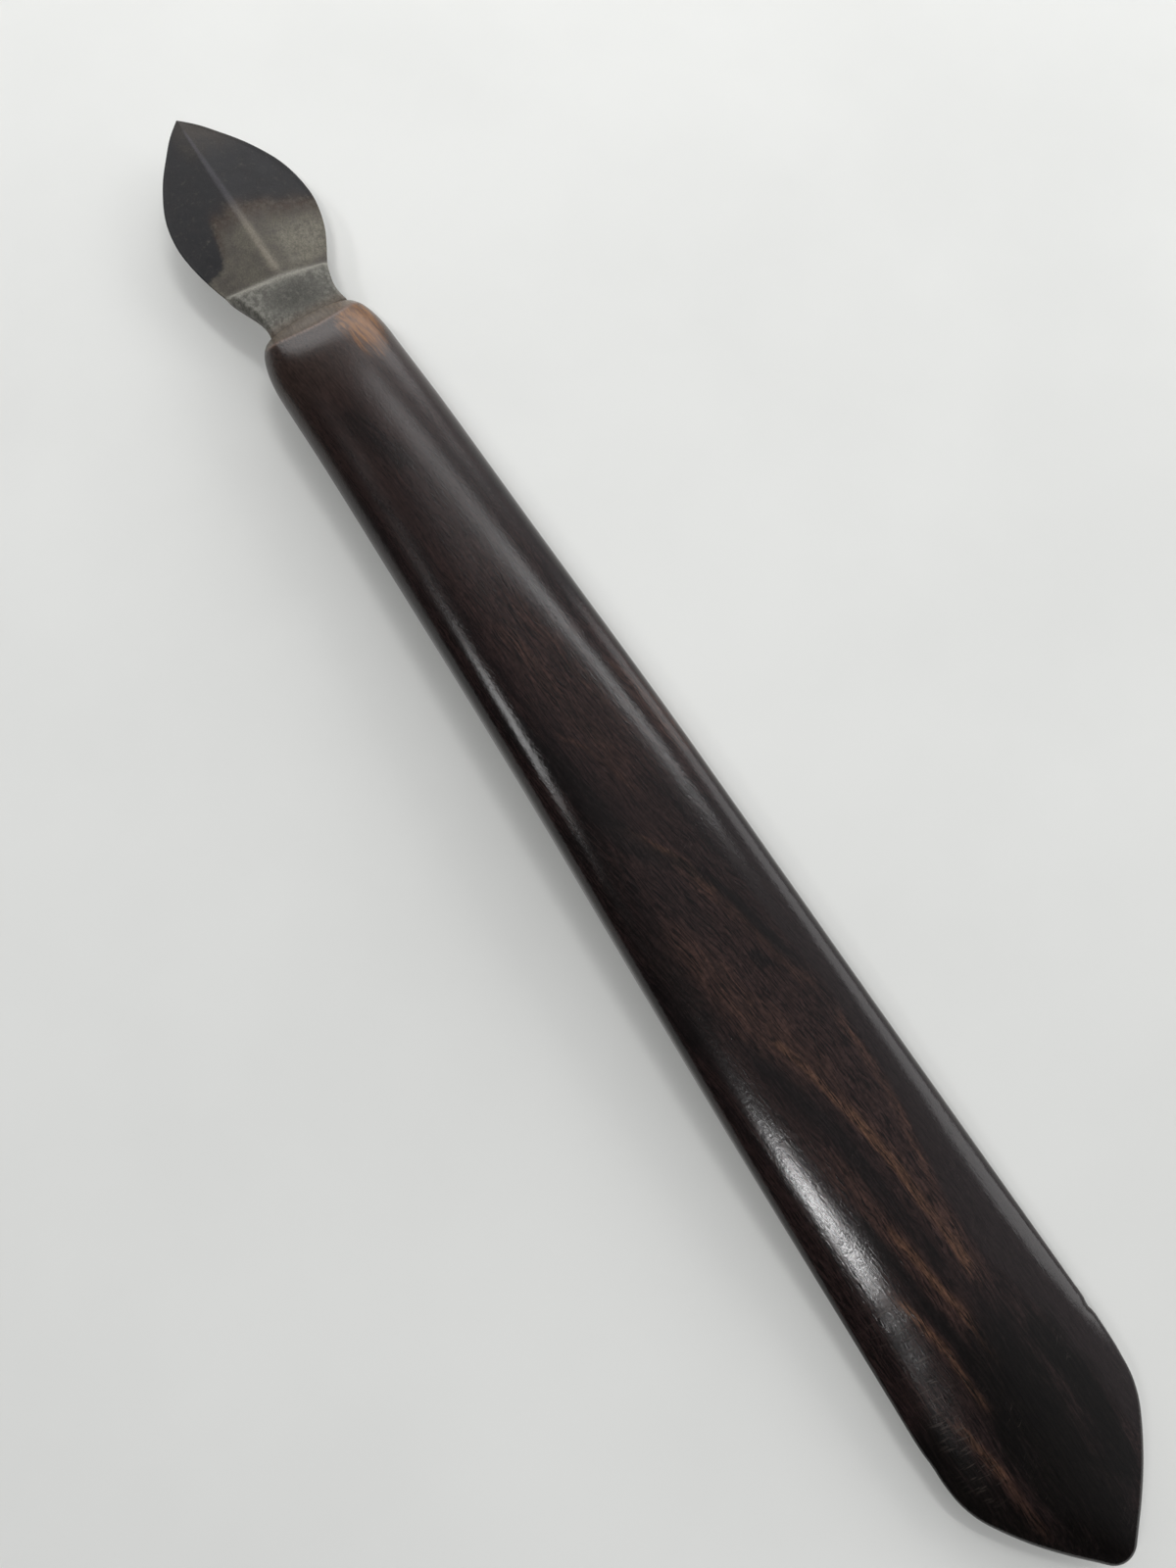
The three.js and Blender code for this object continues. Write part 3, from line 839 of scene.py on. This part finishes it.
def cutlers_resin():
    """Dark brittle resin with trapped grit."""
    nodes = Nodes("cutlers_resin")
    grit = nodes.noise(nodes.place(), (3.0, 3.0, 3.0), detail=4.0)
    colour = nodes.blend(nodes.ease(grit, 0.35, 0.65), srgb(24, 17, 13), srgb(58, 40, 28))
    roughness = nodes.ease(grit, 0.3, 0.7, 0.45, 0.7)
    return nodes.finish(Base_Color=colour, Roughness=roughness, Normal=nodes.bump(grit, 0.05, 0.4))


def pale_table():
    """A matt off-white table with the faintest mottling."""
    nodes = Nodes("pale_table")
    mottle = nodes.noise(nodes.place(), (0.02, 0.02, 0.02), detail=4.0)
    colour = nodes.blend(nodes.ease(mottle, 0.3, 0.7), srgb(232, 233, 230), srgb(237, 238, 235))
    return nodes.finish(Base_Color=colour, Roughness=0.9, Specular_IOR_Level=0.1)


# ---- stage, camera and light ----------------------------------------------------------------
TABLE_HALF_WIDTH = 2500
TABLE_GAP = 0.02  # the table lies this much below the face that rests on it
CAMERA_PLACE = (-24.26, 16.73, 115.55)
CAMERA_TARGET = (-2.65, 1.85, 0)  # on the table, at the middle of the picture
CAMERA_HEADING = -32.69  # degrees from +X to the way that the top of the picture points
FILM = 36.0  # the long side of the film that a phone's lens is rated for
CAMERA_LENS = 25.875
TUBE_DISTANCE = 3.0
# Two soft boxes low at the front and the right, and two long ceiling tubes of two pieces each. A lamp is
# the directions of its two ends seen from the tool, its width and distance in metres, and its watts.
LAMPS = {
    "front_box": ((0.6, -0.72, 0.3), (0.92, 0.2, 0.3), 0.12, 0.34, 0.36),
    "right_box": ((-0.55, -0.77, 0.34), (0.35, -0.87, 0.34), 0.2, 0.45, 0.53),
    "right_tube_far_end": ((0.58, -0.29, 0.77), (0.4, -0.35, 0.85), 0.6, TUBE_DISTANCE, 6.5),
    "right_tube_near_end": ((0.4, -0.35, 0.85), (0.05, -0.5, 0.86), 0.14, TUBE_DISTANCE, 8.0),
    "left_tube_far_end": ((0.345, 0.47, 0.815), (0.2, 0.48, 0.86), 0.5, TUBE_DISTANCE, 8.5),
    "left_tube_near_end": ((-0.335, 0.27, 0.9), (-0.4, 0.26, 0.875), 0.45, TUBE_DISTANCE, 20.0),
}
ROOM_COLOUR = (0.97, 0.97, 1.0, 1)
ROOM_BRIGHTEST = Vector((0.1, -0.85, 0.5)).normalized()
ROOM_STRENGTH = (0.05, 0.6)  # over most of the room, and where it is brightest


def make_table():
    """A wide flat floor, a hair below the underside that rests on it."""
    half = TABLE_HALF_WIDTH * MM
    height = cad_low.z - TABLE_GAP * MM
    corners = [(x, y, height) for x, y in ((-half, -half), (half, -half), (half, half), (-half, half))]
    mesh = bpy.data.meshes.new("table")
    mesh.from_pydata(corners, [], [(0, 1, 2, 3)])
    mesh.materials.append(pale_table())
    put_in_scene("table", mesh)


def place_camera():
    """A phone's main camera held close over the folder end, looking along the tool to the blade."""
    data = bpy.data.cameras.new("camera")
    data.lens = CAMERA_LENS
    data.sensor_width = FILM
    data.clip_start = 0.01
    back = (Vector(CAMERA_PLACE) - Vector(CAMERA_TARGET)).normalized()
    heading = radians(CAMERA_HEADING)
    right = Vector((cos(heading), sin(heading), 0)).cross(back).normalized()
    axes = (right, back.cross(right), back)
    bpy.context.scene.camera = put_in_scene("camera", data, axes, Vector(CAMERA_PLACE) * MM)


def lamp(name, start, end, width, distance, power):
    """A rectangular lamp that spans from one direction to another, seen from the tool, and faces it."""
    start = Vector(start).normalized() * distance
    end = Vector(end).normalized() * distance
    data = bpy.data.lights.new(name, "AREA")
    data.shape = "RECTANGLE"
    data.size = (end - start).length
    data.size_y = width
    data.energy = power
    along = (end - start).normalized()
    across = (start + end).normalized().cross(along)
    put_in_scene(name, data, (along, across, along.cross(across)), (start + end) / 2)


def light_room():
    """A dim room that is brighter on the tool's right."""
    world = bpy.data.worlds.new("room")
    world.use_nodes = True
    tree = world.node_tree
    direction = tree.nodes.new("ShaderNodeTexCoord").outputs["Generated"]
    facing = tree.nodes.new("ShaderNodeVectorMath")
    facing.operation = "DOT_PRODUCT"
    facing.inputs[1].default_value = ROOM_BRIGHTEST
    fade = tree.nodes.new("ShaderNodeMapRange")
    fade.interpolation_type = "SMOOTHSTEP"
    fade.inputs["From Min"].default_value = 0.2
    fade.inputs["From Max"].default_value = 1.0
    fade.inputs["To Min"].default_value, fade.inputs["To Max"].default_value = ROOM_STRENGTH
    background = tree.nodes["Background"]
    background.inputs["Color"].default_value = ROOM_COLOUR
    tree.links.new(direction, facing.inputs[0])
    tree.links.new(facing.outputs["Value"], fade.inputs["Value"])
    tree.links.new(fade.outputs["Result"], background.inputs["Strength"])
    bpy.context.scene.world = world
    bpy.context.scene.view_settings.view_transform = "Standard"


# ---- the tool -------------------------------------------------------------------------------
def dress(piece, material, node):
    """Gives a piece its material, and puts it in the place of its CAD node."""
    piece.data.materials.append(material)
    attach(piece, "root")
    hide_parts(node)


place_camera()
dress(make_handle(), dark_wood(), "handle")
dress(make_blade(), tarnished_steel(), "blade")
dress(make_bedding(), cutlers_resin(), "tang_bedding")
make_table()
for lamp_name, shape in LAMPS.items():
    lamp(lamp_name, *shape)
light_room()
